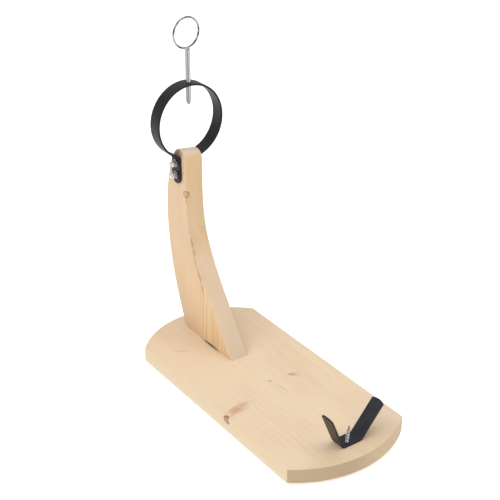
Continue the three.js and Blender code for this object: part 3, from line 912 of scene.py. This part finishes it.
def foot_slit():
    """A thin lens that lifts the foot's near edge off the board."""
    back, front = SLIT_ENDS
    shares = [i / 24 for i in range(25)]
    rings = []
    for y, lift in SLIT_LIFTS:
        roof = [BOARD_TOP + COLUMN_LIFT + lift * math.sin(math.pi * t) ** 0.7 for t in shares]
        ring = [(back + (front - back) * t, y, height) for t, height in zip(shares, roof)]
        ring += [(front + (back - front) * t, y, BOARD_TOP - 1.0) for t in shares]
        rings.append(ring)
    return loft("slit_cutter", rings, COLUMN_PINE)


# ---------- straps ----------

ROW_POINTS = 11
CORNER_STEPS = 3
CRADLE_ROUND = 0.4  # of the cradle's edges and tips


def strap_section(half, thickness, radius):
    """(across, out) points round a strap's section: outer face, edge, inner face, edge."""
    r = min(radius, half * 0.45)
    flat_w = half - r
    flat_o = thickness / 2 - r
    points = []
    for side in (1, -1):
        for i in range(ROW_POINTS):
            points.append((side * (-flat_w + 2 * flat_w * i / (ROW_POINTS - 1)), side * thickness / 2))
        for i in range(1, CORNER_STEPS * 2):
            a = math.pi / 2 - math.pi * i / (CORNER_STEPS * 2)
            reach_o = flat_o if a > 0 else -flat_o if a < 0 else 0.0
            points.append((side * (flat_w + r * math.cos(a)), side * (reach_o + r * math.sin(a))))
    return points


def strap_mesh(name, rings, material):
    """Skins sections of a strap; its ends are strips, because the cradle's aren't flat."""
    vertices, loops = numbered(rings)
    faces = bridge(loops)
    half = len(loops[0]) // 2
    for end, loop in ((0, loops[0]), (1, loops[-1])):
        outer = loop[:ROW_POINTS]
        inner = loop[half:half + ROW_POINTS][::-1]
        caps = [(outer[i], outer[i + 1], inner[i + 1], inner[i]) for i in range(ROW_POINTS - 1)]
        caps.append((inner[-1], outer[-1], *loop[ROW_POINTS:half]))
        caps.append((outer[0], inner[0], *loop[half + ROW_POINTS:]))
        faces += caps if end else [tuple(reversed(face)) for face in caps]
    return add_mesh(name, vertices, faces, material, 40.0)


def ring_path():
    """(y, z, out_y, out_z) along the strap's middle, drawn with a round ring."""
    ring = RING_HALF_WIDTH - STRAP_THICKNESS / 2
    reach = ring + TAB_BEND
    bend_y = TAB_MIDDLE + TAB_BEND
    near = math.asin((bend_y + RING_Y) / reach)
    far = math.asin((bend_y - RING_Y) / reach)
    quarter = math.pi / 2

    def bend(centre, radius, start, end, steps, side):
        """An arc whose outer side is away from its centre when side is 1, and toward it when -1."""
        outward = arc((0, 0), side, start, end, steps)
        return [(*point, *out) for point, out in zip(arc(centre, radius, start, end, steps), outward)]

    path = bend((-bend_y, RING_Z - reach * math.cos(near)), TAB_BEND, 0.0, quarter - near, 8, -1)
    path += bend((RING_Y, RING_Z), ring, -quarter - near, -quarter + far - 2 * math.pi, 120, 1)[1:-1]
    path += bend((bend_y, RING_Z - reach * math.cos(far)), TAB_BEND, quarter + far, math.pi, 8, -1)
    return path


def make_ring_strap():
    stretch = RING_HALF_HEIGHT / RING_HALF_WIDTH
    path = ring_path()

    def tab(side, bend_z):
        """Stations up a tab, from its rounded tip to the bend above it."""
        top = RING_Z + (bend_z - RING_Z) * stretch
        centre = TAB_TIP + STRAP_HALF
        angles = [math.pi / 2 * i / 16 for i in range(1, 17)]
        rows = [(centre - STRAP_HALF * math.cos(a), STRAP_HALF * math.sin(a)) for a in angles]
        rows.append(((centre + top) / 2, STRAP_HALF))
        return [(side * TAB_MIDDLE, RING_Z + (height - RING_Z) / stretch, side, 0.0, half)
                for height, half in rows]

    stations = tab(-1, path[0][1])
    stations += [(*station, STRAP_HALF) for station in path]
    stations += tab(1, path[-1][1])[::-1]
    rings = []
    for y, z, out_y, out_z, half in stations:
        rings.append([
            (STRAP_X + across, y + out * out_y, RING_Z + (z + out * out_z - RING_Z) * stretch)
            for across, out in strap_section(half, STRAP_THICKNESS, 0.5)
        ])
    strap = strap_mesh("strap_ring", rings, RING_PAINT)
    pin = centre_mm("pin_rod")
    top = RING_Z + RING_HALF_HEIGHT
    profile = [(0, top - 12), (PIN_HOLE, top - 12), (PIN_HOLE, top + 4), (0, top + 4)]
    cutters = [move(lathe("hole_cutter", profile, RING_PAINT, 40), pin.x, pin.y)]
    cutters += [bolt_cutter(node) for node in ("ring_bolt_lower", "ring_bolt_upper")]
    combine(strap, cutters, sharp=40.0)
    settle(strap, "stand", "black_steel", "ring_strap")


# ---------- cradle ----------


def cradle_point(point, across):
    return (CRADLE_X + across, point.x, point.y)


def cradle_arm(corner, tip, section):
    """The sections from a bend out to the arm's curved tip, and the angle that the arm rises at."""
    half = STRAP_THICKNESS / 2
    end_radius = (STRAP_HALF ** 2 + CRADLE_SAG ** 2) / (2 * CRADLE_SAG)
    run = math.hypot(tip[0] - corner, tip[1])
    along = Vector(((tip[0] - corner) / run, tip[1] / run))
    out = Vector((along.y, -along.x)) if along.x > 0 else Vector((-along.y, along.x))
    angle = math.atan2(tip[1], abs(tip[0] - corner))
    base = Vector((corner, CRADLE_BOTTOM)) - out * half
    tangent = CRADLE_BEND * math.tan(angle / 2)
    last = run - 3.0
    rings = []
    for u in (tangent + 0.1, (tangent + last) / 2, last):
        rings.append([cradle_point(base + along * u + out * o, w) for w, o in section])
    # halfway to the tip, then round its edge: how far on, how thick, and how far past
    steps = [(0.5, 1.0, 0.0)]
    steps += [(1.0, math.cos(a), math.sin(a)) for a in (0.0, *quarter_angles(4)[:-1])]
    for share, flat, push in steps:
        at_tip = share == 1.0
        thin = 1.0 - CRADLE_ROUND * (1.0 - flat) / half if at_tip else 1.0
        ring = []
        for w, o in section:
            end = run + CRADLE_SAG - end_radius + math.sqrt(end_radius ** 2 - w * w) - CRADLE_ROUND
            u = last + (end - last) * share + (CRADLE_ROUND * push if at_tip else 0.0)
            ring.append(cradle_point(base + along * u + out * (o * thin), w))
        rings.append(ring)
    return rings, angle


def cradle_bend(corner, side, angle, section):
    middle = CRADLE_BEND - STRAP_THICKNESS / 2
    centre = Vector((corner - side * CRADLE_BEND * math.tan(angle / 2), CRADLE_BOTTOM + CRADLE_BEND))
    rings = []
    for i in range(9):
        out = Vector((side * math.sin(angle * i / 8), -math.cos(angle * i / 8)))
        rings.append([cradle_point(centre + out * (middle + o), w) for w, o in section])
    return rings


def make_cradle():
    section = strap_section(STRAP_HALF, STRAP_THICKNESS, CRADLE_ROUND)
    left, left_angle = cradle_arm(CRADLE_FLAT[0], CRADLE_TIPS[0], section)
    right, right_angle = cradle_arm(CRADLE_FLAT[1], CRADLE_TIPS[1], section)
    left_bend = cradle_bend(CRADLE_FLAT[0], -1, left_angle, section)
    right_bend = cradle_bend(CRADLE_FLAT[1], 1, right_angle, section)
    rings = [*left[::-1], *left_bend[::-1], *right_bend, *right]
    cradle = strap_mesh("cradle_strap", rings, CRADLE_PAINT)
    bottom, top = CRADLE_BOTTOM, CRADLE_BOTTOM + STRAP_THICKNESS
    profile = [(0, bottom - 3), (CRADLE_HOLE, bottom - 3), (CRADLE_HOLE, top + 3), (0, top + 3)]
    hole = lathe("hole_cutter", profile, CRADLE_PAINT, 32)
    combine(cradle, [move(hole, *SPIKE_PLACE)], sharp=40.0)
    settle(cradle, "cradle", "black_steel", "cradle")


# ---------- bolts, nuts and washers ----------


def chamfered_hex(name, height, flats, both_ends):
    """A hexagon up z whose corners are cut back to a cone at its top, or at both its ends."""
    corner = flats / math.sqrt(3)
    prism = loft(name, [circle(corner, level, 6) for level in (0.0, height)], ZINC)
    far, flat = corner + 1, flats / 2 - 0.3
    slope = 1.25 if both_ends else 1.2
    foot = [(0, -0.02), (flat, -0.02), (far, slope)] if both_ends else [(0, -0.1), (far, -0.1)]
    profile = [*foot, (far, height - slope), (flat, height + 0.02), (0, height + 0.02)]
    return combine(prism, [lathe("chamfer", profile, ZINC, 64)], "INTERSECT")


def make_bolt(level, flats):
    """A chamfered hex head on a rolled thread, with its head at the far side."""
    node = f"ring_bolt_{level}"
    low, high = box_mm(node)
    head_face = box_mm(f"head_washer_{level}")[1].y + FIT_GAP
    length = head_face - low.y
    start = length - BOLT_THREAD

    def radius_at(depth):
        return BOLT_RADIUS - 0.5 * max(0.0, (depth - length + 0.8) / 0.8)

    def depth_at(depth):
        return 0.44 * min(1.0, depth - start)

    rings = thread_rings(0, 0, (start, length - 0.05), 8, BOLT_PITCH, radius_at, depth_at, 0.5)
    plain = BOLT_RADIUS - 0.03
    rows = [(0, -1.0), (plain, -1.0), (plain, 2.0), (plain, start - 0.5)]
    shank = turn(threaded(f"shank_{level}", ZINC, rows, rings), math.pi, "X")
    bolt = chamfered_hex(f"bolt_{level}", high.y - head_face, flats, False)
    combine(bolt, [shank], "UNION")
    centre = centre_mm(node)
    move(lay_across(bolt), centre.x, head_face, centre.z)
    settle(bolt, "stand", "zinc_steel", node)


def make_nut(level, flats):
    """A nut chamfered on both faces, with a countersunk bore."""
    node = f"ring_nut_{level}"
    low, high = box_mm(node)
    thick = high.y - low.y
    bore = [(0, -1), (3.9, -1), (2.55, 0.35), (2.55, thick - 0.35), (3.9, thick + 1), (0, thick + 1)]
    nut = chamfered_hex(f"nut_{level}", thick, flats, True)
    combine(nut, [lathe("bore", bore, ZINC, 40)])
    turn(nut, math.radians(NUT_TURNS[level]), "Z")
    bolt = centre_mm(f"ring_bolt_{level}")
    move(lay_across(nut), bolt.x, low.y, bolt.z)
    settle(nut, "stand", "zinc_steel", node)


def make_washer(node):
    low, high = box_mm(node)
    outer, thick = radius_mm(node), high.y - low.y
    profile = [(BOLT_HOLE, thick / 2), (BOLT_HOLE, 0), (outer, 0), (outer, thick), (BOLT_HOLE, thick)]
    washer = lathe(f"{node}_steel", fillet(profile, (0, 0.1, 0.2, 0.35, 0)), ZINC, 56)
    centre = centre_mm(node)
    move(lay_across(washer), centre.x, low.y, centre.z)
    settle(washer, "stand", "zinc_steel", node)


def make_fixing(level):
    """The bolt, nut and two washers at one height."""
    nut_low, nut_high = box_mm(f"ring_nut_{level}")
    flats = nut_high.z - nut_low.z
    make_bolt(level, flats)
    make_nut(level, flats)
    make_washer(f"nut_washer_{level}")
    make_washer(f"head_washer_{level}")


# ---------- pin and handle ----------


def make_rod():
    low, high = box_mm("pin_rod")
    centre, radius = centre_mm("pin_rod"), radius_mm("pin_rod")
    points = [(0, low.z), (1.3, low.z), (radius, low.z + 3.4), (radius, high.z), (radius - 0.6, high.z),
              (0, high.z)]
    rod = lathe("pin_shaft", fillet(points, (0, 0.5, 1.2, 0.0, 0.3, 0), 5), ROD_STEEL, 56)
    settle(move(rod, centre.x, centre.y), "pin", "bright_steel", "pin_rod")


def make_handle():
    low, high = box_mm("pin_handle")
    ring = (high.z - low.z) / 2 - WIRE_RADIUS
    # the section runs anticlockwise, so that its faces look outward
    section = arc((0, ring), WIRE_RADIUS, math.pi / 2, 2.5 * math.pi, 20)[:-1]
    rings = []
    for cosine, sine in arc((0, 0), 1, 0.0, 2 * math.pi, 120)[:-1]:
        rings.append([(x, r * cosine, r * sine) for x, r in section])
    handle = turn(loft("handle_wire", rings, WIRE_STEEL, "joined", 60.0), HANDLE_TURN, "Z")
    settle(move(handle, *centre_mm("pin_handle")), "pin", "bright_steel", "pin_handle")


def make_weld():
    """A small uneven weld between the rod's top and the wire."""
    rod, wire = centre_mm("pin_rod"), centre_mm("pin_handle")
    bottom = box_mm("pin_rod")[1].z - 0.9
    top = box_mm("pin_handle")[0].z + WIRE_RADIUS * 1.3
    rings = []
    for k in range(13):
        t = k / 12
        spread = 3.3 - 1.9 * t ** 1.4 - (1.1 * max(0.0, t - 0.8) / 0.2)
        middle = rod.y + (wire.y - rod.y) * t
        ring = []
        for cosine, sine in arc((0, 0), 1, 0.0, 2 * math.pi, 28)[:-1]:
            out = spread * (1.0 + 0.1 * noise.noise(Vector((cosine, sine, t * 2.0)) * 1.7))
            ring.append((rod.x + 0.85 * out * cosine, middle + out * sine, bottom + (top - bottom) * t))
        rings.append(ring)
    settle(loft("weld_bead", rings, WIRE_STEEL, "capped", 70.0), "pin", "bright_steel")


# ---------- feet ----------


def make_foot(corner):
    node = f"foot_{corner}"
    centre, radius, top = centre_mm(node), radius_mm(node), box_mm(node)[1].z
    points = [(3.7, 1.2), (3.7, 0.0), (radius, 0.0), (radius - 1.0, top), (2.1, top), (2.1, 2.95),
              (3.7, 2.85)]
    foot = lathe(f"rubber_{node}", fillet(points, (0, 0.4, 1.1, 0.5, 0.0, 0.0, 0), 5), RUBBER, 56)
    settle(move(foot, centre.x, centre.y), "stand", "foot_rubber", node)
    wood_screw("foot", corner)


# ---------- the stand ----------

make_board()
make_column()
make_ring_strap()
make_cradle()
make_fixing("lower")
make_fixing("upper")
make_rod()
make_handle()
make_weld()
make_spike()
for place_name in ("back", "middle", "front"):
    wood_screw("column", place_name)
for corner_name in ("front_left", "front_right", "back_left", "back_right"):
    make_foot(corner_name)

# ---------- floor, light and camera, in metres ----------

FLOOR_HALF = 12.0
FLOOR_GLOW = 0.36
SKY_STRENGTH = 0.78


def stage_floor():
    s = Shader("floor_paper", Roughness=0.9, Specular_IOR_Level=0.1, Emission_Color=(1, 1, 1, 1),
               Emission_Strength=FLOOR_GLOW)
    mottle = s.noise(s.place, 3.0 * MM, 2.0)
    paper = s.set(Base_Color=s.ramp(mottle, (0.2, rgb(244, 244, 244)), (0.8, rgb(247, 247, 247))))
    half = FLOOR_HALF / MM
    corners = [(-half, -half, 0), (half, -half, 0), (half, half, 0), (-half, half, 0)]
    add_mesh("floor", corners, [(0, 1, 2, 3)], paper)


def add_light(name, place, aim, size, power):
    data = bpy.data.lights.new(name, "AREA")
    data.shape = "DISK"
    data.size = size
    data.energy = power
    light = bpy.data.objects.new(name, data)
    light.location = place
    light.rotation_euler = (Vector(aim) - Vector(place)).to_track_quat("-Z", "Y").to_euler()
    bpy.context.scene.collection.objects.link(light)


def add_sky():
    world = bpy.data.worlds.new("studio")
    world.use_nodes = True
    background = world.node_tree.nodes["Background"]
    background.inputs["Color"].default_value = (1, 1, 1, 1)
    background.inputs["Strength"].default_value = SKY_STRENGTH
    bpy.context.scene.world = world


stage_floor()
add_sky()
add_light("softbox_left", (0.3, -1.7, 1.9), (0, 0, 0.15), 2.8, 34)
add_light("softbox_top", (0.3, 0.5, 2.4), (0, 0, 0.1), 2.0, 16)

camera_data = bpy.data.cameras.new("camera")
camera_data.sensor_width = 36.0
camera_data.lens = 87.28
camera_data.clip_start = 0.05
camera_data.clip_end = 60.0
camera = bpy.data.objects.new("camera", camera_data)
camera.location = (1.02454, -0.75017, 0.89031)
camera.rotation_euler = (math.radians(61.643), 0.0, math.radians(54.521))
bpy.context.scene.collection.objects.link(camera)
bpy.context.scene.camera = camera
bpy.context.scene.view_settings.view_transform = "Standard"
